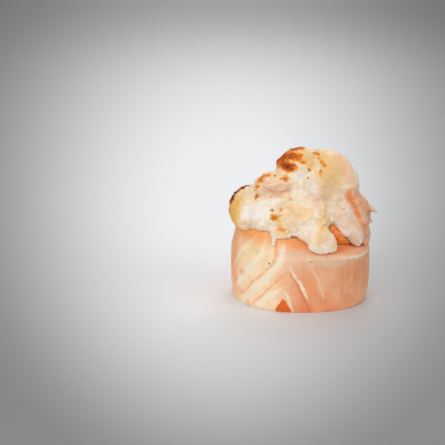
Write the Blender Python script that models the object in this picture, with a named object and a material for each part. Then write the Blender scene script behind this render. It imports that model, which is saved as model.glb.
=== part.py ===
"""A piece of sushi: a slice of salmon wrapped round a filling, heaped with torched seafood in cream sauce.

Run with Blender 4.5. Metres, +Z up, the front of the piece faces -Y. The wrap stands on Z = 0, and the
origin is the middle of the whole piece's footprint. Each separate piece of food is one closed object.
"""

import math

import bmesh
import bpy
from mathutils import Euler, Matrix, Vector, noise

MM = 0.001

# Driving dimensions of the wrap.
WRAP_WIDTH = 50 * MM
WRAP_DEPTH = 42 * MM
WALL_HEIGHT = 18.8 * MM  # up to where the slice starts to lean in
LEANING_EDGE = 8.5 * MM  # how much of the slice leans in above the wall
EDGE_LIFT = 1.9 * MM  # how much more of it does so where it is tallest
TALLEST_AT = 208  # degrees round from +X
SLICE_THICKNESS = 2.2 * MM
PLAN_SQUARENESS = 2.25  # 2 is an ellipse, more is squarer
LEAN_FLATTEST = 12  # degrees above level, at the right
LEAN_STEEPEST = 76  # degrees above level, at the left
FLATTEST_AT = -25  # degrees round from +X
DRAWN_IN_AT = 230  # degrees, where the outline's corner is drawn in
WALL_TAPER = 0.6 * MM
WALL_BULGE = 0.5 * MM
FOOT_ROUNDING = 1.4 * MM
SHOULDER_ROUNDING = 2.4 * MM
BED_HEIGHT = 21.3 * MM  # the filling's top, inside the wrap
LAP_STEP = 1.2 * MM
LAP_AT = 118  # degrees, where the slice's outer end lies on itself, at the back
LAP_SPAN = 70  # degrees over which the slice climbs onto itself
LAP_TWIST = 9  # degrees that the slice's end slants from foot to top
WRAP_COLUMNS = 72

# How the topping's pieces are made and fitted.
VOXEL = 0.7 * MM
FINE_VOXEL = 0.45 * MM
LUMP_RELIEF = 0.8 * MM  # how far the uneven swells go in and out
LUMP_GRAIN = 4.6 * MM  # how far apart they are
FINE_RELIEF = 0.25 * MM
FINE_GRAIN = 2.1 * MM
GAP = 0.5 * MM  # between two pieces, before the cutter is thinned
CUTTER_SHARE = 0.4  # of a piece's triangles that its cutter keeps

SALMON = ("salmon", (0.78, 0.34, 0.19), 0.35)
SALMON_DEEP = ("salmon_deep", (0.72, 0.22, 0.07), 0.4)
CREAM = ("cream_sauce", (0.86, 0.72, 0.50), 0.45)
PRAWN = ("prawn_meat", (0.86, 0.60, 0.44), 0.4)


def clear_scene():
    for obj in list(bpy.data.objects):
        bpy.data.objects.remove(obj, do_unlink=True)


def material(name, colour, roughness):
    """A Principled material, made once for each name."""
    found = bpy.data.materials.get(name)
    if found:
        return found
    made = bpy.data.materials.new(name)
    made.use_nodes = True
    made.diffuse_color = (*colour, 1)
    shader = made.node_tree.nodes["Principled BSDF"]
    shader.inputs["Base Color"].default_value = (*colour, 1)
    shader.inputs["Roughness"].default_value = roughness
    shader.inputs["Metallic"].default_value = 0
    return made


def add_object(name, bm, finish):
    """A smooth-shaded object made of a bmesh, which it frees."""
    mesh = bpy.data.meshes.new(name)
    bm.to_mesh(mesh)
    bm.free()
    mesh.materials.append(material(*finish))
    mesh.shade_smooth()
    obj = bpy.data.objects.new(name, mesh)
    bpy.context.scene.collection.objects.link(obj)
    return obj


def apply_modifiers(obj):
    """Replaces the object's mesh by what its modifiers make of it."""
    graph = bpy.context.evaluated_depsgraph_get()
    made = bpy.data.meshes.new_from_object(obj.evaluated_get(graph))
    old = obj.data
    obj.modifiers.clear()
    obj.data = made
    bpy.data.meshes.remove(old)


def smoothstep(t):
    t = min(max(t, 0.0), 1.0)
    return t * t * (3 - 2 * t)


# ---------------------------------------------------------------- the wrap


def outline_point(degrees):
    """A point of the wrap's outline, a rounded oval with a few soft flats and one corner drawn in."""
    c, s = math.cos(math.radians(degrees)), math.sin(math.radians(degrees))
    power = 2 / PLAN_SQUARENESS
    x = WRAP_WIDTH / 2 * math.copysign(abs(c) ** power, c)
    y = WRAP_DEPTH / 2 * math.copysign(abs(s) ** power, s)
    swell = 0.3 * math.sin(math.radians(3 * degrees + 60)) + 0.2 * math.sin(math.radians(5 * degrees))
    swell -= 1.1 * math.exp(-(((degrees - DRAWN_IN_AT + 180) % 360 - 180) / 24) ** 2)
    return Vector((x, y)) + Vector((c, s)) * swell * MM


def inward(degrees):
    """The outline's unit normal, pointing in."""
    along = outline_point(degrees + 0.5) - outline_point(degrees - 0.5)
    return Vector((-along.y, along.x)).normalized()


def lean(degrees):
    """How steeply the slice's upper edge leans in, in radians above level."""
    turned = (1 - math.cos(math.radians(degrees - FLATTEST_AT))) / 2
    return math.radians(LEAN_FLATTEST + (LEAN_STEEPEST - LEAN_FLATTEST) * turned)


def leaning_edge(degrees):
    """How much of the slice leans in above the wall there."""
    return LEANING_EDGE + EDGE_LIFT * math.exp(-(((degrees - TALLEST_AT) / 30) ** 2))


def lap_rise(degrees):
    """How far the slice's outer end lifts the surface: it climbs over LAP_SPAN, then ends in a step."""
    before = (LAP_AT - degrees) % 360
    return LAP_STEP * smoothstep(1 - before / LAP_SPAN)


def slice_profile(degrees):
    """The slice's section at one place round the wrap: (distance in from the outline, height) pairs."""
    steps = 3
    profile = []
    for k in range(steps + 1):
        turn = math.pi / 2 * k / steps
        profile.append((FOOT_ROUNDING * (1 - math.sin(turn)), FOOT_ROUNDING * (1 - math.cos(turn))))
    for share in (0.3, 0.5, 0.7, 0.88, 1.0):
        profile.append((0.0, WALL_HEIGHT * share))
    profile = [
        (d + WALL_TAPER * (1 - z / WALL_HEIGHT) - WALL_BULGE * math.sin(math.pi * z / WALL_HEIGHT), z)
        for d, z in profile
    ]
    angle = lean(degrees)
    edge = leaning_edge(degrees % 360)
    for k in range(1, steps + 1):
        turn = (math.pi / 2 - angle) * k / steps
        profile.append(
            (SHOULDER_ROUNDING * (1 - math.cos(turn)), WALL_HEIGHT + SHOULDER_ROUNDING * math.sin(turn))
        )
    d, z = profile[-1]
    for share in (0.35, 0.7, 0.94):
        profile.append((d + edge * share * math.cos(angle), z + edge * share * math.sin(angle)))
    d, z = profile[-1]
    for share in (0.25, 0.8):
        profile.append(
            (
                d + 0.5 * MM + SLICE_THICKNESS * share * math.sin(angle),
                z - SLICE_THICKNESS * share * math.cos(angle),
            )
        )
    return profile


def make_wrap():
    """The wrapped filling, solid, with the slice's leaning edge round a shallow bed on top."""
    bm = bmesh.new()
    angles = [LAP_AT + 360 * k / WRAP_COLUMNS for k in range(WRAP_COLUMNS)]
    angles.append(LAP_AT + 359.2)
    columns = []
    for degrees in angles:
        profile = slice_profile(degrees)
        top = profile[-1][1]
        rise = lap_rise(degrees)
        column = []
        for d, z in profile:
            at = degrees + LAP_TWIST * z / top
            point = outline_point(at) + inward(at) * (d - rise)
            column.append(Vector((point.x, point.y, z)))
        inner = column[-1]
        for share in (0.7, 0.35):
            height = BED_HEIGHT + (inner.z - BED_HEIGHT) * share * share
            column.append(Vector((inner.x * share, inner.y * share, height)))
        columns.append([bm.verts.new(p) for p in column])
    centre = bm.verts.new((0, 0, BED_HEIGHT))
    for k, column in enumerate(columns):
        after = columns[(k + 1) % len(columns)]
        for lower, upper, next_lower, next_upper in zip(column, column[1:], after, after[1:]):
            bm.faces.new((lower, next_lower, next_upper, upper))
        bm.faces.new((column[-1], after[-1], centre))
    bm.faces.new([column[0] for column in reversed(columns)])
    bmesh.ops.triangulate(bm, faces=[f for f in bm.faces if len(f.verts) > 4])
    bmesh.ops.recalc_face_normals(bm, faces=bm.faces)
    return add_object("salmon_wrap", bm, SALMON)


# ---------------------------------------------------------------- the topping's pieces


def blob(centre, radii, turn=(0, 0, 0)):
    """An ellipsoid on the bed: its centre and radii in mm, and its turn about X, Y and Z in degrees."""
    place = Matrix.Translation(Vector(centre) * MM + Vector((0, 0, BED_HEIGHT)))
    rotation = Euler([math.radians(a) for a in turn]).to_matrix().to_4x4()
    return place @ rotation @ Matrix.Diagonal((*(Vector(radii) * MM), 1))


def prawn(start, end, sag, radius, taper, segments=5):
    """A peeled prawn's body: ringed segments along an arc from start to end, in mm, bowed by sag."""
    start, end, sag = Vector(start), Vector(end), Vector(sag)
    direction = (end - start).normalized()
    turn = direction.to_track_quat("Z", "Y").to_euler()
    turn = [math.degrees(a) for a in turn]
    length = (end - start).length
    blobs = []
    for k in range(segments):
        share = (k + 0.5) / segments
        centre = start.lerp(end, share) + sag * math.sin(math.pi * share)
        width = radius * (1 - taper * share)
        blobs.append(blob(centre, (width, width * 0.86, length / segments * 0.82), turn))
    return blobs


def fray(root, tip, height, thickness):
    """A thin torn flap that tapers from its root to its tip, in mm."""
    root, tip = Vector(root), Vector(tip)
    along = tip - root
    turn = (0, math.degrees(math.atan2(-along.z, along.x)), 0)
    blobs = []
    for k in range(5):
        share = k / 4
        left = 1 - 0.85 * share
        radii = (along.length * 0.22, thickness * (0.45 + 0.55 * left), height * left)
        blobs.append(blob(root.lerp(tip, share * 0.92), radii, turn))
    return blobs


def roughen(obj, seed, relief):
    """Uneven relief on a piece: soft swells with a finer grain on them."""
    shift = Vector((seed * 7.3, seed * 3.1, seed * 5.7))
    moves = []
    for vertex in obj.data.vertices:
        swell = noise.noise(vertex.co / LUMP_GRAIN + shift)
        grain = noise.noise(vertex.co / FINE_GRAIN - shift)
        moves.append(vertex.normal * (relief * swell + FINE_RELIEF * grain))
    for vertex, move in zip(obj.data.vertices, moves):
        vertex.co += move


def make_lump(name, finish, blobs, seed, triangles, voxel=VOXEL, relief=LUMP_RELIEF, softness=5):
    """Ellipsoids melted into one uneven lump of about so many triangles."""
    bm = bmesh.new()
    for matrix in blobs:
        bmesh.ops.create_icosphere(bm, subdivisions=4, radius=1, matrix=matrix)
    obj = add_object(name, bm, finish)
    melt = obj.modifiers.new("Melt", "REMESH")
    melt.mode = "VOXEL"
    melt.voxel_size = voxel
    soften = obj.modifiers.new("Soften", "SMOOTH")
    soften.iterations = softness
    apply_modifiers(obj)
    roughen(obj, seed, relief)
    thin = obj.modifiers.new("Thin", "DECIMATE")
    thin.use_collapse_triangulate = True
    thin.ratio = triangles / (2 * len(obj.data.polygons))
    apply_modifiers(obj)
    obj.data.shade_smooth()
    return obj


TOPPING = (
    # In order: a later piece gives way to the ones before it. Places and radii are in mm, and heights
    # are above the bed inside the wrap.
    dict(
        name="white_chunk",
        finish=CREAM,
        blobs=[
            blob((6.2, -8.4, 20.4), (5.2, 3.8, 4.8), (0, 18, 12)),
            blob((3.4, -8.6, 16.8), (4.6, 3.4, 4.4), (0, -20, 0)),
            blob((9.4, -7.4, 17.0), (4.2, 3.4, 4.2), (0, 30, 0)),
        ],
        seed=1,
        triangles=420,
    ),
    dict(
        name="prawn_flake",
        finish=PRAWN,
        blobs=[
            blob((13.6, -8.8, 11.7), (4.3, 3.2, 3.4), (0, -30, 0)),
            blob((16.0, -9.5, 7.9), (3.7, 3.6, 8.0), (0, -42, 0)),
            blob((18.9, -9.6, 5.2), (3.2, 3.4, 4.2), (0, -25, 0)),
            blob((19.9, -9.2, 2.6), (2.4, 2.8, 2.7)),
        ],
        seed=2,
        triangles=560,
        relief=0.4 * MM,
    ),
    dict(
        name="pink_prawn",
        finish=PRAWN,
        blobs=prawn((-15.4, -4.8, 19.8), (-4.8, -7.6, 22.4), (0, -1.0, 2.2), 4.7, 0.1, 4)
        + [blob((-15.4, -7.2, 16.2), (2.5, 2.2, 3.2), (0, 15, 0))],
        seed=3,
        triangles=520,
    ),
    dict(
        name="cream_drape",
        finish=CREAM,
        blobs=[
            blob((-1.5, -9.8, 10.8), (10.2, 5.8, 7.8)),
            blob((2.4, -11.8, 9.8), (7.4, 4.8, 7.0), (0, 12, 0)),
            blob((4.2, -14.0, 7.2), (5.4, 3.8, 5.2)),
            blob((6.4, -15.8, 3.8), (5.1, 3.6, 5.0), (-20, -8, 0)),
            blob((10.8, -16.2, 1.4), (1.5, 1.5, 2.4), (-20, 0, 0)),
            blob((-7.6, -12.4, 6.8), (4.6, 3.4, 3.6)),
            blob((-10.4, -14.2, 4.6), (1.5, 1.3, 2.6), (-42, 4, 0)),
            blob((-10.7, -15.8, 2.7), (1.0, 1.0, 1.9), (-42, 4, 0)),
        ],
        seed=4,
        triangles=850,
    ),
    dict(
        name="cream_lobe",
        finish=CREAM,
        blobs=[
            blob((-16.8, -2.0, 12.2), (9.0, 8.8, 8.8), (0, 12, 0)),
            blob((-12.0, -8.2, 9.8), (8.0, 5.6, 5.8), (0, 14, 0)),
            blob((-19.0, -6.5, 9.8), (5.6, 5.0, 4.3)),
        ],
        seed=5,
        triangles=720,
    ),
    dict(
        name="sauced_slab",
        finish=CREAM,
        blobs=[
            blob((10.8, 0.0, 20.6), (9.9, 8.6, 13.0), (0, -22, 0)),
            blob((14.4, -1.0, 12.8), (7.4, 7.2, 9.0), (0, -10, 0)),
        ],
        seed=6,
        triangles=720,
        relief=0.5 * MM,
    ),
    dict(
        name="salmon_strip",
        finish=SALMON,
        blobs=[
            blob((20.0, 2.5, 15.6), (1.7, 7.0, 5.0), (0, -24, 0)),
            blob((22.0, 3.0, 10.6), (1.7, 7.5, 5.0), (0, -20, 0)),
            blob((23.3, 3.0, 5.6), (1.8, 7.0, 5.0), (0, -12, 0)),
            blob((23.8, 2.5, 1.4), (1.9, 6.0, 3.5)),
            blob((17.4, -6.6, 18.6), (1.7, 2.0, 2.2), (0, -25, 0)),
            blob((18.8, -6.0, 15.8), (2.0, 2.6, 3.2), (0, -25, 0)),
            blob((20.4, -6.0, 12.2), (2.0, 2.8, 3.2), (0, -22, 0)),
            blob((21.5, -6.2, 8.2), (1.9, 3.0, 3.2), (0, -18, 0)),
            blob((22.5, -6.0, 4.2), (1.7, 3.0, 3.0), (0, -10, 0)),
            blob((22.9, -5.2, 1.2), (1.6, 3.2, 2.4)),
        ]
        + fray((20.6, 0.8, 15.0), (27.4, 0.4, 10.2), 2.4, 1.2)
        + fray((22.4, 3.0, 10.8), (26.6, 2.6, 5.4), 2.6, 1.2),
        seed=7,
        triangles=760,
        voxel=FINE_VOXEL,
        relief=0.25 * MM,
        softness=2,
    ),
    dict(
        name="salmon_chunk",
        finish=SALMON_DEEP,
        blobs=[blob((12.6, -6.6, 4.2), (6.4, 6.2, 5.6))],
        seed=8,
        triangles=300,
    ),
    dict(
        name="back_prawn",
        finish=PRAWN,
        blobs=prawn((-7.0, 11.5, 20.0), (9.0, 13.0, 13.6), (1, 3, 3), 5.6, 0.2, 5),
        seed=9,
        triangles=500,
    ),
    dict(
        name="back_lobe",
        finish=CREAM,
        blobs=[
            blob((-9.5, 11.5, 10.6), (9.4, 7.4, 8.4), (0, 0, 15)),
            blob((2.0, 15.2, 6.6), (7.2, 4.6, 6.8), (14, 0, 0)),
        ],
        seed=10,
        triangles=560,
    ),
    dict(
        name="torched_mound",
        finish=CREAM,
        blobs=[
            blob((0.0, 1.5, 10.5), (16.5, 13.0, 12.0)),
            blob((-0.6, 0.0, 25.3), (8.1, 8.0, 9.1)),
            blob((4.6, 0.8, 26.4), (7.6, 6.2, 6.9)),
            blob((-1.6, -1.0, 18.5), (11.5, 8.6, 9.0)),
            blob((-1.2, -6.4, 22.4), (4.0, 3.0, 3.2)),
        ],
        seed=11,
        triangles=900,
    ),
)


# ---------------------------------------------------------------- fitting the pieces together


def grown_copy(obj, share):
    """A hidden cutter: the object's copy, grown by GAP all over, with that share of its triangles."""
    cutter = obj.copy()
    cutter.data = obj.data.copy()
    cutter.name = obj.name + "_cutter"
    bpy.context.scene.collection.objects.link(cutter)
    grow = cutter.modifiers.new("Grow", "DISPLACE")
    grow.mid_level = 0
    grow.strength = GAP
    thin = cutter.modifiers.new("Thin", "DECIMATE")
    thin.ratio = share
    apply_modifiers(cutter)
    cutter.hide_render = True
    cutter.display_type = "WIRE"
    return cutter


def overlaps(a, b):
    """Whether two objects' boxes meet."""
    boxes = []
    for obj in (a, b):
        corners = list(zip(*obj.bound_box))
        boxes.append(([min(axis) for axis in corners], [max(axis) for axis in corners]))
    (low_a, high_a), (low_b, high_b) = boxes
    return all(low_a[i] < high_b[i] and low_b[i] < high_a[i] for i in range(3))


def keep_largest_body(obj):
    """Drops the scraps that cutting left loose."""
    bm = bmesh.new()
    bm.from_mesh(obj.data)
    unseen = set(bm.verts)
    bodies = []
    while unseen:
        body, edge = set(), [unseen.pop()]
        while edge:
            vertex = edge.pop()
            body.add(vertex)
            for link in vertex.link_edges:
                other = link.other_vert(vertex)
                if other in unseen:
                    unseen.discard(other)
                    edge.append(other)
        bodies.append(body)
    bodies.sort(key=len, reverse=True)
    for body in bodies[1:]:
        bmesh.ops.delete(bm, geom=list(body), context="VERTS")
    bm.to_mesh(obj.data)
    bm.free()


def fit_piece(obj, cutters):
    """Cuts the piece back from everything that it gives way to."""
    for cutter in cutters:
        if overlaps(obj, cutter):
            cut = obj.modifiers.new("Clear " + cutter.name, "BOOLEAN")
            cut.operation = "DIFFERENCE"
            cut.solver = "EXACT"
            cut.object = cutter
    apply_modifiers(obj)
    keep_largest_body(obj)


def centre_on_footprint(pieces):
    """Moves the pieces so that the origin is the middle of the whole piece's footprint."""
    xs = [v.co.x for obj in pieces for v in obj.data.vertices]
    ys = [v.co.y for obj in pieces for v in obj.data.vertices]
    middle = Vector(((min(xs) + max(xs)) / 2, (min(ys) + max(ys)) / 2, 0))
    for obj in pieces:
        obj.location = -middle


def main():
    clear_scene()
    wrap = make_wrap()
    pieces = [wrap]
    cutters = [grown_copy(wrap, 1.0)]
    for spec in TOPPING:
        piece = make_lump(**spec)
        cutter = grown_copy(piece, CUTTER_SHARE)
        fit_piece(piece, cutters)
        pieces.append(piece)
        cutters.append(cutter)
    for cutter in cutters:
        bpy.data.objects.remove(cutter, do_unlink=True)
    centre_on_footprint(pieces)


main()
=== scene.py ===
"""The looks of a salmon-wrapped sushi piece heaped with torched prawn and seafood in cream sauce.

Each CAD solid gets a finer copy of itself that stands for it, with relief and a procedural material.
Lengths named _MM are in millimetres, and everything else is in metres, in the row frame.
"""

import math
import random

import bmesh
import bpy
import numpy as np
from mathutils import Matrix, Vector, noise
from mathutils.bvhtree import BVHTree


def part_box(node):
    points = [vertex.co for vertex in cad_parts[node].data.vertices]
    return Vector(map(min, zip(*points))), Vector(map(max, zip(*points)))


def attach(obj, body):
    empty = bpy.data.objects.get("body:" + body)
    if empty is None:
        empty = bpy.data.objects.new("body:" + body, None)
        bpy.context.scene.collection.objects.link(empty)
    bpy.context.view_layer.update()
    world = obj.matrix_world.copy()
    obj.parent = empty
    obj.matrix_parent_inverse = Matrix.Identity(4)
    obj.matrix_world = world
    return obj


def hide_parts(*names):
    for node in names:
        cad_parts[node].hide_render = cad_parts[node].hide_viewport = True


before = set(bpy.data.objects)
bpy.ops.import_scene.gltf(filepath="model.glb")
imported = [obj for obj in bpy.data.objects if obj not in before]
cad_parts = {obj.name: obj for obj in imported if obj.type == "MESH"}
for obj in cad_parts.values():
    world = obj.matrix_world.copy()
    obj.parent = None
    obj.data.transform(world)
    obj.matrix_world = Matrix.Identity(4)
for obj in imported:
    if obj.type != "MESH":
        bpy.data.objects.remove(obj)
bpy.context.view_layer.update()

MM = 0.001

# The pieces' fine meshes: how far apart their points lie, how often they are softened and how far
# they are grown. The spacings for the topping's lumps are in CREAM_PIECES and PRAWN_PIECES.
WRAP_VOXEL_MM = 0.42
STRIP_VOXEL_MM = 0.28
CHUNK_VOXEL_MM = 0.42
SOFTNESS = 4
STRIP_SOFTNESS = 3
TOPPING_GROWTH_MM = 0.1
WRAP_GROWTH_MM = 0.12
STRIP_GROWTH_MM = 0.2
CHUNK_GROWTH_MM = 0.35

# The topping's relief: the sizes of its chunks, and how much of it the pieces have.
RELIEF_SEED = 6
LARGE_CHUNK_MM = 4.6
SMALL_CHUNK_MM = 1.9
TOPPING_RELIEF = 0.9
FLAKE_RELIEF = 0.5
STRIP_RELIEF_MM = 0.14  # how deep the strip's fibres are

# The sauce between the pieces.
SAUCE_VOXEL_MM = 0.5
SAUCE_SKIN_VOXEL_MM = 0.4
SAUCE_SOFTNESS = (2, 12, 6)  # once it is grown, once it is shrunk back, and on its skin
VALLEY_RADIUS_MM = 2.1  # how wide the sauce rounds off the valleys that it fills
CRACK_RADIUS_MM = 0.6  # the same for the cracks beside the flake, the strip and the wrap
SAUCE_DEPTH_MM = 0.12  # how far below the pieces it lies where there is no valley
UNDER_SAUCE_FROM_MM = 14  # the lowest part of the wrap that sauce may meet
WRAP_INSET_MM = 0.4  # how much the wrap is shrunk where the sauce is rounded against it
HEIGHT_REACH_MM = 4.0  # how far from a surface heights off it are told apart

# The sauce starts to sink where the topping's lumps are farther off than the first of these
# distances. Beyond the second it lies SUNK_MM under the wrap's surface. Only sauce within SHORE_MM
# of that surface sinks.
NO_LUMP_MM = (0.8, 1.4)
SHORE_MM = 1.2
SUNK_MM = 0.6

# The sauce's relief comes up between these heights off the wrap and off the strip, and it turns to
# the salmon's colour between the last two.
RELIEF_OFF_WRAP_MM = (0.8, 2.8)
RELIEF_OFF_STRIP_MM = (0.3, 2.0)
SALMON_OFF_STRIP_MM = (1.4, 0.6)

# The wrap, as the CAD has it. Its outline's centre isn't quite the middle of its box.
WRAP_MIDDLE = (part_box("salmon_wrap")[0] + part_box("salmon_wrap")[1]) / 2
WRAP_CENTRE_MM = (WRAP_MIDDLE.x / MM - 0.25, WRAP_MIDDLE.y / MM - 0.45)
WRAP_HALF_WIDTH_MM = 25
WRAP_HALF_DEPTH_MM = 21
PLAN_SQUARENESS = 2.25
DRAWN_IN_AT = 230  # where the outline is drawn in a little, in degrees from the right, by way of the back
FOOT_MM = 1.6  # how high the foot's rounding goes
FOOT_INSET_MM = 0.5
FOOT_REACH_MM = (3.0, 1.0)  # how far inside the outline the foot is left alone, and brought out the most
FOOT_SQUARING = 0.75  # how far it is brought out there, from 0 for its rounding to 1 for a square edge
RELIEF_FROM_MM = (0.3, 1.5)  # the heights where the wrap's relief starts and where it is full
HALF_WAY_ROUND_MM = 73.64  # how far the middle of its back is from that of its front
LAP_AT_MM = -61  # how far round the wrap the slice's outer end lies

# The camera, and so where a point of the object falls in the picture.
FRAME_PIXELS = 445
CAMERA_DISTANCE = 0.45
CAMERA_ELEVATION = math.radians(16)
# It aims to the left of the object, which stands at the picture's right.
CAMERA_AIM = Vector((WRAP_CENTRE_MM[0] - 28.3, WRAP_CENTRE_MM[1], 27.5)) * MM
LENS_MM = 100
SENSOR_MM = 36

TOWARDS_CAMERA = Vector((0, -math.cos(CAMERA_ELEVATION), math.sin(CAMERA_ELEVATION)))
PICTURE_UP = Vector((0, math.sin(CAMERA_ELEVATION), math.cos(CAMERA_ELEVATION)))
CAMERA_PLACE = CAMERA_AIM + TOWARDS_CAMERA * CAMERA_DISTANCE

# The floor's colour holds a painted pool of light round the object, and is painted darker beyond it.
# The pool is what a cone of light would meet there, from this place in front of the object and above
# it. Its middle and its reach, to the side and up and down, are slopes of the cone.
POOL_CONE_TIP = (-0.029, -0.433, 0.152)
POOL_REACH = (0.215, 0.25)
POOL_MIDDLE = 0.27
POOL_EDGE = (0.15, 1.15)  # where the pool starts to darken and where it ends, in parts of its reach

HALVING = 0.69  # about the logarithm of 2: marks and areas are half as strong at their edges
FAR_MM = 9.0  # farther from a line than it shows

# ---------------------------------------------------------------- meshes


def linked(name, mesh):
    obj = bpy.data.objects.new(name, mesh)
    bpy.context.scene.collection.objects.link(obj)
    return obj


def apply_modifiers(obj):
    """Replaces the object's mesh by what its modifiers make of it."""
    graph = bpy.context.evaluated_depsgraph_get()
    made = bpy.data.meshes.new_from_object(obj.evaluated_get(graph))
    old = obj.data
    obj.modifiers.clear()
    obj.data = made
    bpy.data.meshes.remove(old)


def add_remesh(obj, voxel_mm, softness, grow_mm):
    """Modifiers for an even fine mesh, softened that many times and grown by so much."""
    melt = obj.modifiers.new("Melt", "REMESH")
    melt.mode = "VOXEL"
    melt.voxel_size = voxel_mm * MM
    soften = obj.modifiers.new("Soften", "SMOOTH")
    soften.iterations = softness
    grow = obj.modifiers.new("Grow", "DISPLACE")
    grow.mid_level = 0
    grow.strength = grow_mm * MM


def refined(node, voxel_mm, softness, grow_mm):
    """A finer copy of a CAD node, grown so that it closes the gap to its neighbours."""
    obj = linked(node + "_look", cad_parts[node].data.copy())
    obj.data.materials.clear()
    add_remesh(obj, voxel_mm, softness, grow_mm)
    apply_modifiers(obj)
    obj.data.shade_smooth()
    return obj


def coordinates(obj):
    found = np.empty(len(obj.data.vertices) * 3)
    obj.data.vertices.foreach_get("co", found)
    return found.reshape(-1, 3)


def normals(obj):
    found = np.empty(len(obj.data.vertices) * 3)
    obj.data.vertex_normals.foreach_get("vector", found)
    return found.reshape(-1, 3)


def push(obj, amounts):
    """Moves each vertex along its normal, by metres."""
    places = coordinates(obj) + normals(obj) * amounts[:, None]
    obj.data.vertices.foreach_set("co", places.ravel())
    obj.data.update()


def seed_shift(seed):
    """How far noise is shifted, so that each seed gives other lumps."""
    return Vector((seed * 7.31, seed * 3.17, seed * 5.71))


def noise_at(obj, size_mm, seed, stretch=(1, 1, 1)):
    """Smooth noise, about -1 to 1, at each vertex, with lumps of about that size."""
    scale = Vector([1 / (size_mm * MM * s) for s in stretch])
    shift = seed_shift(seed)
    return np.array([noise.noise(v.co * scale + shift) for v in obj.data.vertices])


def store(obj, name, values):
    """Keeps a value for each vertex, for the materials to read."""
    attribute = obj.data.attributes.new(name, "FLOAT", "POINT")
    attribute.data.foreach_set("value", np.asarray(values, np.float32))


def smoothstep(low, high, values):
    """Goes smoothly from 0 to 1 as the values go from low to high, which may also be downwards."""
    t = np.clip((values - low) / (high - low), 0, 1)
    return t * t * (3 - 2 * t)


# ---------------------------------------------------------------- marks on the topping


def picture_places(points):
    """Where points fall in the picture, in pixels from its left and top."""
    offsets = points - np.array(CAMERA_PLACE)
    depths = -offsets @ np.array(TOWARDS_CAMERA)
    pixels = FRAME_PIXELS * LENS_MM / SENSOR_MM
    across = FRAME_PIXELS / 2 + pixels * offsets[:, 0] / depths
    down = FRAME_PIXELS / 2 - pixels * (offsets @ np.array(PICTURE_UP)) / depths
    return across, down


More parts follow.
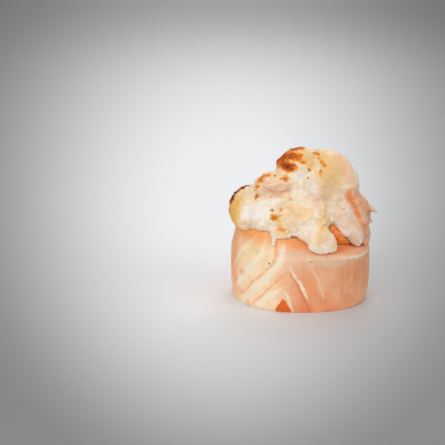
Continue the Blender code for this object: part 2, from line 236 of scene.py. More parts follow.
# Marks on the side that faces the front: (pixels across, pixels down, half width, half height, turn in
# degrees, strength). They are where these places fall in the picture, so they sit on what is seen there.
FRONT_MARKS = {
    "torch": [
        (296, 148.5, 8.5, 2.6, -8, 1.5),
        (288, 156, 10.0, 5.2, 4, 1.6),
        (280, 160, 6.5, 5.5, -30, 1.65),
        (298.5, 158, 4.5, 4.8, 0, 1.4),
        (288, 166.5, 8.0, 4.4, 10, 1.9),
        (281, 164, 3.5, 3.0, 0, 0.9),
        (302, 162, 4.0, 2.0, 10, 0.95),
        (316, 153.5, 3.8, 1.7, 10, 1.1),
        (321, 161, 5.0, 2.0, 55, 1.0),
        (324, 166, 2.6, 2.8, 0, 1.0),
        (321, 172, 2.0, 3.4, 0, 0.95),
        (309, 170, 2.0, 1.8, 0, 1.0),
        (308, 177.8, 1.9, 1.4, 0, 1.0),
        (275, 175.5, 1.8, 1.8, 0, 1.0),
        (284.5, 178.5, 4.2, 3.0, 0, 1.3),
        (262, 179.5, 6.0, 2.4, -40, 1.2),
        (268, 175.5, 3.0, 1.4, -20, 0.9),
        (257, 187, 2.0, 4.0, 20, 1.0),
        (256.8, 196.5, 2.0, 3.0, 8, 1.1),
        (290.5, 199, 1.8, 1.6, 0, 0.55),
        (272, 210.3, 1.8, 1.2, 30, 1.3),
        (273.5, 217, 4.0, 3.4, 0, 1.2),
        (278.5, 216, 3.0, 1.4, -20, 0.6),
        (281, 209.5, 3.0, 2.4, 0, 0.55),
        (281.5, 229.5, 4.4, 2.0, 0, 1.0),
        (231.8, 197.5, 2.4, 5.5, 20, 2.6),
        (236.5, 190, 5.0, 2.2, -45, 2.7),
        (243.5, 186, 5.0, 2.2, -14, 2.8),
        (229.0, 210.5, 1.8, 2.0, 0, 0.9),
        (238, 197, 2.0, 2.2, 0, 0.5),
        (270, 183, 2.5, 1.2, 0, 0.55),
        (343, 209, 2.6, 1.6, -15, 0.6),
    ],
    "gold": [
        (234.5, 212, 6.0, 18, 4, 1.6),
        (242, 222, 7, 3.0, 12, 0.6),
        (240, 197, 6, 5, -30, 0.6),
        (332, 174, 12, 20, 24, 1.0),
        (322, 158, 11, 8, 30, 0.8),
        (279.5, 224, 3.4, 9, -12, 1.0),
        (284, 231, 8, 3, 0, 0.9),
        (300, 154, 12, 9, 0, 0.85),
        (312, 160, 9, 9, 0, 0.9),
        (276, 168, 9, 5, -35, 0.5),
        (322, 222, 4, 22, 8, 0.8),
        (300, 214, 16, 9, 0, 0.35),
        (318, 184, 2.2, 6.0, 0, 0.7),
        (271, 190, 12, 8, 0, 0.35),
        (314, 199, 4, 4, 0, 0.5),
    ],
    "pink": [
        (275, 186, 12, 9, -8, 0.6),
        (290.5, 206, 2.8, 2.8, 0, 0.9),
        (315.5, 202, 3.6, 3.2, 0, 0.9),
        (345, 168, 4.0, 22, -24, 0.8),
        (357, 191, 5, 10, -20, 0.8),
        (325, 199, 5, 14, 0, 0.35),
        (290, 186, 3, 9, 0, 0.35),
        (364.5, 216, 4.0, 6.0, -25, 0.9),
    ],
    "salmon": [
        (350, 194, 2.8, 4.5, 0, 1.0),
        (352, 203, 2.4, 6.0, -22, 1.0),
        (357.5, 213, 2.6, 7.0, -25, 1.0),
        (362, 225, 2.2, 7.0, -16, 0.9),
        (356, 196, 4.0, 6.0, -20, 0.5),
    ],
    "vein": [
        (269, 190, 5.0, 0.9, 24, 1.0),
        (276.5, 194, 4.2, 0.9, 22, 1.0),
        (284.5, 191.5, 4.6, 0.9, -28, 1.0),
        (279, 197, 6.0, 0.8, 6, 0.7),
        (270.5, 197, 3.2, 0.8, -12, 0.9),
        (289, 195, 0.9, 5.0, 0, 0.5),
        (343.5, 209, 3.0, 0.8, -15, 0.9),
        (345.5, 214, 4.0, 0.8, -50, 0.6),
        (350.5, 222, 4.5, 0.8, 60, 0.7),
        (357, 226, 5.5, 1.2, 55, 0.9),
        (338, 218, 4.0, 0.8, -60, 0.45),
        (353, 233, 3.5, 0.8, 30, 0.5),
    ],
    # Painted shade: a duller, darker colour on the parts of the flake, white chunk, slab, mound and drape
    # that lie in shade.
    "dull": [
        (349, 222, 10, 20, -35, 0.65),
        (313, 188, 9, 11, 0, 0.45),
        (333, 178, 12, 22, 20, 0.6),
        (312, 158, 9, 7, 0, 0.3),
        (322, 244, 16, 10, 0, 0.3),
    ],
    "smooth": [
        (336, 176, 20, 32, 24, 1.1),
        (308, 150, 14, 6, 0, 0.9),
        (252, 213, 14, 12, 0, 0.8),
        (318, 244, 18, 10, 0, 1.2),
        (303, 220, 14, 10, 0, 0.7),
        (275, 238, 6, 6, 0, 1.0),
        (232, 210, 6, 14, 0, 0.6),
    ],
    "white": [
        (313, 187, 4.5, 8.5, 0, 1.0),
        (299, 176, 8, 5.0, 0, 0.8),
        (256, 214, 14, 9, 0, 0.8),
        (272, 202, 6, 4, 0, 0.8),
        (300, 232, 10, 6, 30, 0.4),
        (361, 238, 3, 4.5, 0, 0.8),
        (322, 250, 10, 4, 0, 0.4),
        (296, 195, 5, 8, 0, 0.3),
        (352, 214, 3, 5, -40, 0.5),
        (338, 225, 1.8, 9, -38, 0.9),
        (360, 236, 2.6, 6, -20, 0.9),
        (352, 243, 5, 2, 20, 0.7),
    ],
}
FRONT_FACING = (-0.35, 0.05)  # how far a surface faces the camera, from not marked to marked in full
PAINTED_MARKS = ("torch", "gold", "pink", "salmon", "vein", "dull", "white")


def dabs(place, spread_mm, count):
    """Torched dabs scattered about a place: (place and radius in mm, strength) of each."""
    rng = random.Random(f"{place}")
    found = []
    for _ in range(count):
        at = tuple(axis + rng.uniform(-spread_mm, spread_mm) for axis in place)
        found.append((at, rng.uniform(1.0, 2.4), rng.uniform(1.0, 1.7)))
    return found


# Marks on the rest, at places in the row frame: (place and radius in mm, strength).
REST_MARKS = {
    "torch": [
        *dabs((-2, 8, 54), 5.0, 9),
        *dabs((3, 3, 57), 3.0, 3),
        *dabs((-12, 12, 40.5), 4.5, 6),
        *dabs((1, 15, 46), 4.0, 5),
        *dabs((7, 18, 40), 3.0, 3),
        *dabs((-6, 18, 34), 2.0, 2),
        *dabs((16, 6, 46), 3.0, 3),
        *dabs((-22, 4, 38), 4.0, 6),
    ],
    "gold": [
        ((-16, 12, 34), 7.0, 0.8),
        ((10, 8, 44), 8.0, 0.8),
        ((0, 18, 30), 6.0, 0.6),
        ((-22, 2, 30), 8.0, 0.9),
        ((0, 10, 50), 8.0, 0.8),
    ],
    "pink": [((4, 16, 42), 8.0, 0.5), ((18, 8, 34), 6.0, 0.7)],
    "smooth": [((14, 6, 44), 9.0, 0.8)],
    "white": [((-8, 16, 34), 6.0, 0.6), ((8, 14, 34), 6.0, 0.6)],
}


def mark_strength(obj, kind):
    """How strongly each vertex carries that kind of mark."""
    places = coordinates(obj)
    across, down = picture_places(places)
    facing = smoothstep(*FRONT_FACING, normals(obj) @ np.array(TOWARDS_CAMERA))
    front = np.zeros(len(places))
    for x, y, half_width, half_height, turn, strength in FRONT_MARKS[kind]:
        c, s = math.cos(math.radians(turn)), math.sin(math.radians(turn))
        dx, dy = across - x, down - y
        along = (dx * c + dy * s) / half_width
        over = (dy * c - dx * s) / half_height
        front = np.maximum(front, strength * np.exp(-HALVING * (along**2 + over**2) ** 1.5))
    rest = np.zeros(len(places))
    for place, radius, strength in REST_MARKS.get(kind, []):
        apart = np.linalg.norm(places / MM - np.array(place), axis=1) / radius
        rest = np.maximum(rest, strength * np.exp(-HALVING * apart**3))
    return np.maximum(front * facing, rest * (1 - facing))


# ---------------------------------------------------------------- the wrap's marbling


def outline_radii(angles):
    """The wrap's outline: its distance from the centre, in mm, at angles from the front, to the right."""
    turns = np.radians(np.arange(0, 360, 0.25))
    power = 2 / PLAN_SQUARENESS
    c, s = np.cos(turns), np.sin(turns)
    swell = 0.3 * np.sin(3 * turns + math.radians(60)) + 0.2 * np.sin(5 * turns)
    swell -= 1.1 * np.exp(-(((np.degrees(turns) - DRAWN_IN_AT + 180) % 360 - 180) / 24) ** 2)
    x = WRAP_HALF_WIDTH_MM * np.copysign(np.abs(c) ** power, c) + c * swell
    y = WRAP_HALF_DEPTH_MM * np.copysign(np.abs(s) ** power, s) + s * swell
    at = np.arctan2(x, -y)
    order = np.argsort(at)
    return np.interp(angles, at[order], np.hypot(x, y)[order], period=2 * math.pi)


def round_the_wrap(places):
    """Each point's place on the unrolled slice in mm: how far round from the front, and how far up it."""
    x = places[:, 0] / MM - WRAP_CENTRE_MM[0]
    y = places[:, 1] / MM - WRAP_CENTRE_MM[1]
    angles = np.arctan2(x, -y)
    table = np.linspace(-math.pi, math.pi, 1441)
    radii = outline_radii(table)
    steps = np.hypot(np.diff(radii * np.sin(table)), np.diff(radii * np.cos(table)))
    lengths = np.concatenate(([0], np.cumsum(steps)))
    lengths -= np.interp(0, table, lengths)
    up = places[:, 2] / MM + np.maximum(outline_radii(angles) - np.hypot(x, y), 0)
    return np.interp(angles, table, lengths), up


# Lines on the unrolled slice: (mm round from the front, mm up, half width in mm) at each bend.
FAT_BANDS = [
    [(-16.6, 29.5, 0.4), (-16.5, 25.1, 0.5), (-16.0, 22.5, 0.6), (-17.3, 18.0, 1.2), (-20.1, 14.6, 1.6),
     (-23.5, 10.9, 1.5), (-27.5, 7.0, 1.0)],
    [(-21.0, 30.0, 0.3), (-23.1, 24.6, 0.45), (-24.8, 21.0, 0.5), (-27.0, 17.5, 0.6), (-30.0, 13.0, 0.5)],
    [(-8.3, 28.2, 0.8), (-7.9, 22.2, 0.9), (-8.3, 18.2, 1.05), (-10.6, 15.1, 1.1), (-12.8, 12.6, 1.2),
     (-15.7, 9.6, 1.4), (-18.8, 6.7, 1.5), (-21.5, 3.8, 1.4), (-25.0, 1.0, 1.0)],
    [(-7.4, 9.4, 0.4), (-10.6, 6.8, 1.0), (-13.6, 4.4, 1.1), (-16.8, 1.2, 1.0)],
    [(-6.4, 7.8, 0.2), (-5.5, 6.1, 0.5), (-4.6, 3.8, 0.55), (-4.0, 1.0, 0.5)],
]
WHITE_LINES = [
    [(-4.4, 16.6, 0.2), (-3.8, 15.6, 0.35), (-2.5, 12.9, 0.45), (-1.3, 11.1, 0.6), (-0.1, 8.9, 0.65),
     (0.9, 7.1, 0.6), (2.0, 5.6, 0.3)],
    [(14.0, 19.4, 0.1), (17.6, 19.1, 0.35), (21.7, 18.9, 0.4), (28.3, 19.1, 0.3), (33.0, 19.2, 0.1)],
]
PALE_LINES = [
    [(1.8, 20.6, 0.45), (2.7, 17.6, 0.5), (3.9, 14.7, 0.4), (4.7, 12.8, 0.45), (5.7, 10.0, 0.6),
     (6.7, 7.3, 0.6), (7.4, 5.0, 0.3)],
]
SALMON_LINES = [
    [(-4.8, 15.6, 0.1), (-7.3, 13.6, 0.3), (-10.0, 10.9, 0.35), (-12.8, 7.8, 0.4), (-15.9, 4.6, 0.3),
     (-19.2, 1.9, 0.25)],
    [(-11.8, 29.0, 0.7), (-9.8, 22.0, 0.6), (-10.7, 17.4, 0.4), (-12.9, 15.2, 0.25), (-15.1, 12.9, 0.25),
     (-18.6, 10.3, 0.3), (-21.5, 7.2, 0.3), (-26.0, 4.0, 0.3)],
    [(-26.0, 28.0, 0.5), (-28.0, 22.0, 0.4), (-31.0, 16.0, 0.4), (-35.0, 12.0, 0.3)],
]
SEAMS = [
    [(0.9, 24.2, 0.2), (1.0, 21.6, 0.05)],
    [(8.7, 22.0, 0.3), (8.7, 20.4, 0.05)],
    [(14.1, 18.3, 0.05), (14.7, 4.2, 0.02)],
    [(17.0, 19.0, 0.12), (16.4, 10.0, 0.02)],
    [(20.0, 18.0, 0.05), (20.6, 3.0, 0.02)],
    [(26.0, 18.0, 0.05), (26.4, 5.0, 0.02)],
    [(31.0, 18.0, 0.05), (31.4, 3.0, 0.02)],
]
DEEP_BANDS = [
    [(-4.8, 15.2, 0.05), (-3.0, 12.6, 0.2), (-1.5, 9.5, 0.3), (0.4, 5.4, 0.35), (2.0, 2.6, 0.4),
     (3.0, 0.5, 0.3)],
]
TRIANGLE_TIP = (-6.9, 5.4)
TRIANGLE_SPREAD = 0.74  # its half width for each mm below the tip
# The pale rim along the shoulder is partly pale fat and partly a painted highlight where the rounded
# shoulder meets the light.
RIM = [
    [(-6.0, 23.4, 0.8), (-2.7, 23.0, 1.6), (0.4, 22.6, 1.5), (2.8, 19.7, 2.2), (5.6, 19.5, 2.4),
     (9.0, 19.2, 2.1), (12.0, 19.1, 2.3), (15.3, 19.0, 1.9), (19.7, 18.8, 1.2), (24.4, 18.6, 0.8),
     (30.4, 18.7, 0.7), (45.0, 18.7, 0.3)],
]
LINES = {
    "band": FAT_BANDS,
    "white_line": WHITE_LINES,
    "pale_line": PALE_LINES,
    "salmon_line": SALMON_LINES,
    "seam": SEAMS,
    "deep_band": DEEP_BANDS,
    "rim": RIM,
}

# The lines' relief: (height in mm, the distances from a line's edge where it starts and where it is full).
LINE_RELIEF = {
    "band": (0.14, 0.6, -0.8),
    "white_line": (0.10, 0.3, -0.2),
    "chevron": (0.06, 0.3, -0.3),
    "rim": (0.08, 0.8, -0.8),
    "salmon_line": (-0.14, 0.5, -0.1),
    "deep_band": (-0.25, 0.4, -0.6),
    "seam": (-0.10, 0.3, -0.05),
}


def distance_to_lines(round_mm, up_mm, lines):
    """The distance in mm from each point to the nearest line's edge, less than nothing inside it."""
    nearest = np.full(len(round_mm), FAR_MM)
    for line in lines:
        for (u0, v0, w0), (u1, v1, w1) in zip(line, line[1:]):
            du, dv = u1 - u0, v1 - v0
            share = ((round_mm - u0) * du + (up_mm - v0) * dv) / (du * du + dv * dv)
            share = np.clip(share, 0, 1)
            away = np.hypot(round_mm - u0 - share * du, up_mm - v0 - share * dv)
            nearest = np.minimum(nearest, away - (w0 + (w1 - w0) * share))
    return nearest


def chevron_lines(first_mm, last_mm, apex_mm, spacing_mm, slope, width_mm):
    """Nested chevrons between two places round the slice, as lines with their point at the apex."""
    lines = []
    for k in range(-6, 9):
        top = k * spacing_mm
        ends = [(u, top - slope * abs(u - apex_mm), 0.7 * width_mm) for u in (first_mm, last_mm)]
        lines.append([ends[0], (apex_mm, top, width_mm), ends[1]])
    return lines


# The fat lines of the sides and back, up to the lap of the slice's outer end and past it.
CHEVRONS_UP_TO_LAP = chevron_lines(33, 59, 47, 6.2, 0.9, 0.5) + chevron_lines(61, 86, 74, 6.0, 1.0, 0.6)
CHEVRONS_PAST_LAP = chevron_lines(-60, -35, -48, 5.6, 1.0, 0.6)

# Soft areas on the unrolled slice: (mm round, mm up, half width, half height, strength).
AREAS = {
    "pale": [
        (-4.0, 20.5, 6.5, 4.5, 0.75),
        (2.0, 22.5, 3.0, 3.0, 0.5),
        (-1.0, 24.0, 4.0, 2.0, 0.6),
        (8.0, 15.0, 5.0, 4.0, 0.25),
    ],
    # Deeper orange: the band along the topping's edge is painted shade; the others are spots and bands
    # lower down.
    "deep_tone_and_shade": [
        (-3.0, 29.8, 7.5, 3.0, 0.85),
        (-7.5, 12.0, 2.0, 2.0, 0.4),
        (2.8, 9.7, 1.5, 4.0, 0.6),
        (33.0, 10.0, 3.0, 12.0, 0.3),
        (12.0, 0.0, 18.0, 2.4, 0.4),
    ],
    # Painted light: orange under the topping's edge, painted bright where the overhang would shade it.
    "painted_light_under_topping": [
        (-26.0, 31.0, 12.0, 3.4, 1.0),
        (-3.5, 31.0, 5.0, 2.0, 0.25),
    ],
    # Amber: the orange down the slice's left edge, partly a painted reflection of orange beside it, and
    # under the lobe's edge.
    "amber_and_painted_reflection": [
        (-31.5, 22.0, 2.6, 5.0, 0.6),
        (-30.5, 14.5, 3.0, 7.0, 1.0),
        (-28.5, 7.5, 2.2, 4.0, 0.9),
        (-37.0, 14.0, 6.0, 14.0, 0.4),
        (-25.0, 29.6, 11.0, 3.0, 0.85),
    ],
    # The top face under the topping is painted shade; the spots low down are darker orange.
    "rust_tone_and_shade": [
        (15.5, 25.0, 5.0, 1.8, 1.0),
        (9.0, 24.2, 4.5, 1.5, 0.9),
        (27.0, 25.5, 10.0, 2.4, 0.7),
        (0.7, 1.8, 2.4, 1.8, 0.7),
        (7.5, 4.3, 1.3, 1.2, 0.5),
        (9.2, 2.0, 1.8, 1.2, 0.5),
    ],
    "tan": [
        (25.0, 22.6, 6.0, 1.8, 0.8),
        (4.4, 18.6, 2.8, 1.6, 0.6),
        (4.2, 4.1, 1.5, 1.2, 0.6),
        (6.7, 9.6, 1.0, 1.0, 0.5),
        (12.0, 7.0, 1.2, 1.6, 0.5),
        (26.7, 2.6, 4.0, 2.0, 0.5),
    ],
    "yellow": [
        (-20.0, 23.5, 2.6, 3.4, 0.9),
        (-22.5, 27.0, 2.5, 2.0, 0.6),
        (-12.6, 21.0, 1.6, 3.0, 0.7),
        (-13.6, 19.1, 0.9, 1.1, 0.9),
        (-30.0, 22.0, 5.0, 5.0, 0.5),
    ],
    "blush": [
        (-24.1, 12.7, 1.2, 1.0, 0.8),
        (-24.5, 5.0, 1.2, 1.0, 0.9),
        (-22.1, 1.8, 1.0, 1.0, 0.7),
        (-21.5, 5.5, 5.0, 3.0, 0.3),
    ],
}
DARK_SPECKS = [(-12.0, 17.9), (2.5, 19.0)]
SPECK_FLATNESS = 1.6

# Where the slice's paler, mottled left part comes in and goes out, in mm round from the front.
LEFT_PART_MM = ((-2.0, -13.0), (-36.0, -29.0))


def area_strength(round_mm, up_mm, areas):
    """How far each point of the slice is in the soft areas, from 0 to their strength."""
    total = np.zeros(len(round_mm))
    for u, v, half_width, half_height, strength in areas:
        apart = ((round_mm - u) / half_width) ** 2 + ((up_mm - v) / half_height) ** 2
        total = np.maximum(total, strength * np.exp(-HALVING * apart))
    return total


def square_the_foot(obj):
    """Brings the wrap's rounded foot out, so that it meets the floor in a crisp edge."""
    places = coordinates(obj)
    out = places[:, :2] / MM - np.array(WRAP_CENTRE_MM)
    out /= np.linalg.norm(out, axis=1)[:, None]
    outline = outline_radii(np.arctan2(out[:, 0], -out[:, 1]))
    radii = np.linalg.norm(places[:, :2] / MM - np.array(WRAP_CENTRE_MM), axis=1)
    near = smoothstep(FOOT_MM, 0.0, places[:, 2] / MM) * smoothstep(*FOOT_REACH_MM, outline - radii)
    step = near * FOOT_SQUARING * np.maximum(outline - FOOT_INSET_MM - radii, 0)
    places[:, :2] += out * step[:, None] * MM
    obj.data.vertices.foreach_set("co", places.ravel())
    obj.data.update()


def line_distances(u, v):
    """The distance from each point of the slice to each kind of line, by the kind's name."""
    found = {name: distance_to_lines(u, v, lines) for name, lines in LINES.items()}
    before_lap = np.where(u < LAP_AT_MM, u + 2 * HALF_WAY_ROUND_MM, u)
    found["chevron"] = np.minimum(
        distance_to_lines(before_lap, v, CHEVRONS_UP_TO_LAP), distance_to_lines(u, v, CHEVRONS_PAST_LAP)
    )
    found["pale_line"] = np.minimum(found["pale_line"], found["chevron"] + 0.2)
    return found


def wobble(obj, seed):
    """How far the lines waver at each vertex, in mm."""
    return 0.6 * noise_at(obj, 5.5, seed) + 0.3 * noise_at(obj, 1.8, seed + 1)


def make_wrap():
    """The slice of salmon: fat bands and lines, a pale rim along its shoulder, and its layered relief."""
    obj = refined("salmon_wrap", WRAP_VOXEL_MM, SOFTNESS, WRAP_GROWTH_MM)
    places = coordinates(obj)
    round_mm, up_mm = round_the_wrap(places)
    u, v = round_mm + wobble(obj, 1), up_mm + wobble(obj, 3)
    distances = line_distances(u, v)
    for name, away in distances.items():
        store(obj, name, away)
    below_tip = TRIANGLE_TIP[1] - up_mm
    store(obj, "triangle", np.abs(round_mm - TRIANGLE_TIP[0]) - TRIANGLE_SPREAD * below_tip)
    for name, areas in AREAS.items():
        store(obj, name, area_strength(u, v, areas))
    to_specks = [np.hypot(round_mm - x, (up_mm - z) * SPECK_FLATNESS) for x, z in DARK_SPECKS]
    store(obj, "speck", np.min(to_specks, axis=0))
    into_left, out_of_left = LEFT_PART_MM
    store(obj, "left", smoothstep(*into_left, u) * smoothstep(*out_of_left, u))
    relief = 0.18 * noise_at(obj, 5.0, 5) + 0.06 * noise_at(obj, 1.6, 6)
    for name, (height, outer, inner) in LINE_RELIEF.items():
        relief += height * smoothstep(outer, inner, distances[name])
    relief *= smoothstep(*RELIEF_FROM_MM, places[:, 2] / MM)
    push(obj, relief * MM)
    square_the_foot(obj)
    return obj


# ---------------------------------------------------------------- the topping


def chunks(obj, size_mm, seed):
    """Chunks of about that size: each vertex's height on its chunk in mm, its crease and the tint."""
    shift = seed_shift(seed)
    found = np.empty((len(obj.data.vertices), 3))
    for vertex, row in zip(obj.data.vertices, found):
        place = vertex.co / (size_mm * MM) + shift
        place += 0.3 * noise.noise_vector(place * 1.4)
        apart, centres = noise.voronoi(place)
        lean = noise.noise_vector(centres[0] * 5.3)
        height = size_mm * (place - centres[0]).dot(lean)
        row[:] = height, apart[1] - apart[0], noise.noise(centres[0] * 9.1)
    return found[:, 0], smoothstep(0.35, 0.0, found[:, 1]), found[:, 2]


def chop(obj, amount, salmon=0):
    """Gives a piece of topping the relief of chopped seafood under sauce, by that share, and its marks.

    salmon is how much each vertex takes the salmon's colour besides.
    """
    large, large_crease, large_tint = chunks(obj, LARGE_CHUNK_MM, 1)
    small, small_crease, small_tint = chunks(obj, SMALL_CHUNK_MM, 2)
    relief = 0.5 * large * (1 - large_crease) + 0.7 * small * (1 - small_crease)
    relief += 0.15 - 0.18 * large_crease - 0.13 * small_crease
    relief += 0.14 * noise_at(obj, 2.2, 4) + 0.08 * noise_at(obj, 0.9, 3)
    relief *= amount * (1 - 0.8 * np.minimum(mark_strength(obj, "smooth"), 1))
    store(obj, "tint", large_tint + 0.8 * small_tint)
    # The creases' mask, for the warmer, darker painted shade that the materials lay in them.
    store(obj, "crease", np.maximum(large_crease, 0.6 * small_crease))
    for kind in PAINTED_MARKS:
        store(obj, kind, mark_strength(obj, kind) + (salmon if kind == "salmon" else 0))
    push(obj, relief * MM)


def joined(name, pieces):
    """One object of all the pieces' meshes."""
    bm = bmesh.new()
    for piece in pieces:
        bm.from_mesh(piece.data)
    mesh = bpy.data.meshes.new(name)
    bm.to_mesh(mesh)
    bm.free()
    return linked(name, mesh)


def fill_valleys(obj, radius_mm, depth_mm):
    """Rounds off the valleys between an object's lumps to that radius, and sinks all of it by the depth."""
    grown, shrunk, skin = SAUCE_SOFTNESS
    add_remesh(obj, SAUCE_VOXEL_MM, grown, radius_mm)
    add_remesh(obj, SAUCE_VOXEL_MM, shrunk, -radius_mm - depth_mm)
    add_remesh(obj, SAUCE_SKIN_VOXEL_MM, skin, 0)
    apply_modifiers(obj)
    obj.data.shade_smooth()


def top_of_wrap():
    """The upper part of the wrap, a little inside its surface."""
    obj = linked("top_of_wrap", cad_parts["salmon_wrap"].data.copy())
    bm = bmesh.new()
    bm.from_mesh(obj.data)
    cut = bmesh.ops.bisect_plane(
        bm,
        geom=[*bm.verts, *bm.edges, *bm.faces],
        plane_co=(0, 0, UNDER_SAUCE_FROM_MM * MM),
        plane_no=(0, 0, -1),
        clear_outer=True,
    )
    rim = [part for part in cut["geom_cut"] if isinstance(part, bmesh.types.BMEdge)]
    bmesh.ops.edgeloop_fill(bm, edges=rim)
    bm.to_mesh(obj.data)
    bm.free()
    add_remesh(obj, SAUCE_VOXEL_MM, SAUCE_SOFTNESS[0], -WRAP_INSET_MM)
    apply_modifiers(obj)
    return obj


def make_sauce(lumps, others):
    """Sauce in the valleys between the lumps, and in the cracks beside the other pieces and the wrap."""
    bed = joined("sauce_bed", lumps)
    fill_valleys(bed, VALLEY_RADIUS_MM, 0)
    wrap = top_of_wrap()
    obj = joined("sauce_fill", [bed, *others, wrap])
    for used in (bed, wrap):
        bpy.data.objects.remove(used, do_unlink=True)
    fill_valleys(obj, CRACK_RADIUS_MM, SAUCE_DEPTH_MM)
    return obj


def surface_of(obj):
    """An object's surface, as a tree that finds the place on it nearest to a point."""
    mesh = obj.data
    return BVHTree.FromPolygons([v.co for v in mesh.vertices], [p.vertices for p in mesh.polygons])


def height_off(obj, others):
    """How far each vertex is outside the nearest of the others, in mm, and less than nothing inside it.

    A vertex that is farther off than the reach counts as that far outside.
    """
    found = np.full(len(obj.data.vertices), HEIGHT_REACH_MM)
    for surface in map(surface_of, others):
        for index, vertex in enumerate(obj.data.vertices):
            nearest, normal, _, apart = surface.find_nearest(vertex.co, HEIGHT_REACH_MM * MM)
            if nearest is not None:
                height = math.copysign(apart / MM, (vertex.co - nearest).dot(normal))
                found[index] = min(found[index], height)
    return found


def sink_away_from_lumps(sauce, wrap, lumps):
    """Draws the sauce in under the wrap's surface where no lump of the topping is near."""
    surface = surface_of(wrap)
    shares = smoothstep(*NO_LUMP_MM, height_off(sauce, lumps))
    for vertex, share in zip(sauce.data.vertices, shares):
        nearest, normal, _, _ = surface.find_nearest(vertex.co, SHORE_MM * MM)
        if nearest is None:
            continue
        under = nearest - normal * SUNK_MM * MM
        if (vertex.co - under).dot(normal) > 0:
            vertex.co = vertex.co.lerp(under, share)
    sauce.data.update()


# ---------------------------------------------------------------- materials


def linear(red, green, blue):
    """A colour given as it shows on a screen, 0 to 255, in the values that shaders take."""
    return tuple(
        c / 255 / 12.92 if c <= 10 else ((c / 255 + 0.055) / 1.055) ** 2.4 for c in (red, green, blue)
    )


class Nodes:
    """A material's node tree, with short ways to add to it."""

    def __init__(self, name):
        self.material = bpy.data.materials.new(name)
        self.material.use_nodes = True
        self.tree = self.material.node_tree
        self.shader = self.tree.nodes["Principled BSDF"]
        self.place = self.tree.nodes.new("ShaderNodeTexCoord").outputs["Object"]

    def link(self, value, socket):
        if isinstance(value, bpy.types.NodeSocket):
            self.tree.links.new(value, socket)
        elif isinstance(value, tuple) and socket.type == "RGBA":
            socket.default_value = (*value, 1)
        else:
            socket.default_value = value

    def attribute(self, name):
        node = self.tree.nodes.new("ShaderNodeAttribute")
        node.attribute_name = name
        return node.outputs["Fac"]

    def noise(self, size_mm, detail, roughness, stretch=None):
        """Noise of 0 to 1, with features of about that size."""
        node = self.tree.nodes.new("ShaderNodeTexNoise")
        node.inputs["Scale"].default_value = 1 / (size_mm * MM)
        node.inputs["Detail"].default_value = detail
        node.inputs["Roughness"].default_value = roughness
        source = self.place
        if stretch:
            mapping = self.tree.nodes.new("ShaderNodeMapping")
            mapping.inputs["Scale"].default_value = stretch
            self.tree.links.new(source, mapping.inputs["Vector"])
            source = mapping.outputs["Vector"]
        self.tree.links.new(source, node.inputs["Vector"])
        return node.outputs["Fac"]

    def cells(self, size_mm):
        """(distance to the nearest dot, the dot's own random value), with dots about that far apart."""
        node = self.tree.nodes.new("ShaderNodeTexVoronoi")
        node.inputs["Scale"].default_value = 1 / (size_mm * MM)
        self.tree.links.new(self.place, node.inputs["Vector"])
        split = self.tree.nodes.new("ShaderNodeSeparateColor")
        self.tree.links.new(node.outputs["Color"], split.inputs["Color"])
        return node.outputs["Distance"], split.outputs["Red"]

    def math(self, operation, a, b=0.0):
        node = self.tree.nodes.new("ShaderNodeMath")
        node.operation = operation
        self.link(a, node.inputs[0])
        self.link(b, node.inputs[1])
        return node.outputs[0]

    def step(self, value, low, high, to_low=0.0, to_high=1.0):
        """Goes smoothly from one value to another as its input goes from low to high."""
        node = self.tree.nodes.new("ShaderNodeMapRange")
        node.interpolation_type = "SMOOTHSTEP"
        self.link(value, node.inputs["Value"])
        numbers = {"From Min": low, "From Max": high, "To Min": to_low, "To Max": to_high}
        for socket, number in numbers.items():
            node.inputs[socket].default_value = number
        return node.outputs["Result"]

    def mix(self, share, a, b):
        """A mix of two colours, whose sockets come after the Mix node's ones for numbers and vectors."""
        node = self.tree.nodes.new("ShaderNodeMix")
        node.data_type = "RGBA"
        self.link(share, node.inputs[0])
        self.link(a, node.inputs[6])
        self.link(b, node.inputs[7])
        return node.outputs[2]

    def patches(self, colour, size_mm, low, high, share, tint, detail=4, roughness=0.65):
        """Lays a tint on a colour by that share, in patches of about that size, where noise is high."""
        where = self.step(self.noise(size_mm, detail, roughness), low, high, 0, share)
        return self.mix(where, colour, linear(*tint))

    def dots(self, colour, apart_mm, radii, rarity, share, tint):
        """Lays scattered dots on a colour, by that share, about that far apart.

        The radii, as parts of the spacing, are where a dot ends and where it is full. Each dot has a random
        value from 0 to 1. It is left out below the first value of rarity, and full above the second.
        """
        away, kind = self.cells(apart_mm)
        dot = self.math("MULTIPLY", self.step(away, *radii), self.step(kind, *rarity))
        return self.mix(self.math("MULTIPLY", dot, share), colour, linear(*tint))

    def bump(self, height, distance_mm, strength):
        node = self.tree.nodes.new("ShaderNodeBump")
        node.inputs["Distance"].default_value = distance_mm * MM
        node.inputs["Strength"].default_value = strength
        self.link(height, node.inputs["Height"])
        self.link(node.outputs["Normal"], self.shader.inputs["Normal"])

    def finish(self, colour, roughness, subsurface, depth_mm, coat, coat_roughness=0.2, specular=0.5):
        """Sets the shader up and gives the material."""
        self.link(colour, self.shader.inputs["Base Color"])
        self.link(roughness, self.shader.inputs["Roughness"])
        self.shader.inputs["Subsurface Weight"].default_value = subsurface
        self.shader.inputs["Subsurface Radius"].default_value = (1.0, 0.55, 0.3)
        self.shader.inputs["Subsurface Scale"].default_value = depth_mm * MM
        self.shader.inputs["Specular IOR Level"].default_value = specular
        self.shader.inputs["Coat Weight"].default_value = coat
        self.shader.inputs["Coat Roughness"].default_value = coat_roughness
        return self.material


MARK_COLOURS = {
    # Painted shade in the creases.
    "crease": (248, 198, 140),
    "gold": (242, 188, 94),
    "pink": (250, 192, 154),
    "white": (248, 244, 240),
    "vein": (240, 146, 98),
    "salmon": (244, 158, 110),
    # Painted shade, for the parts that lie in shade.
    "dull": (208, 184, 162),
}


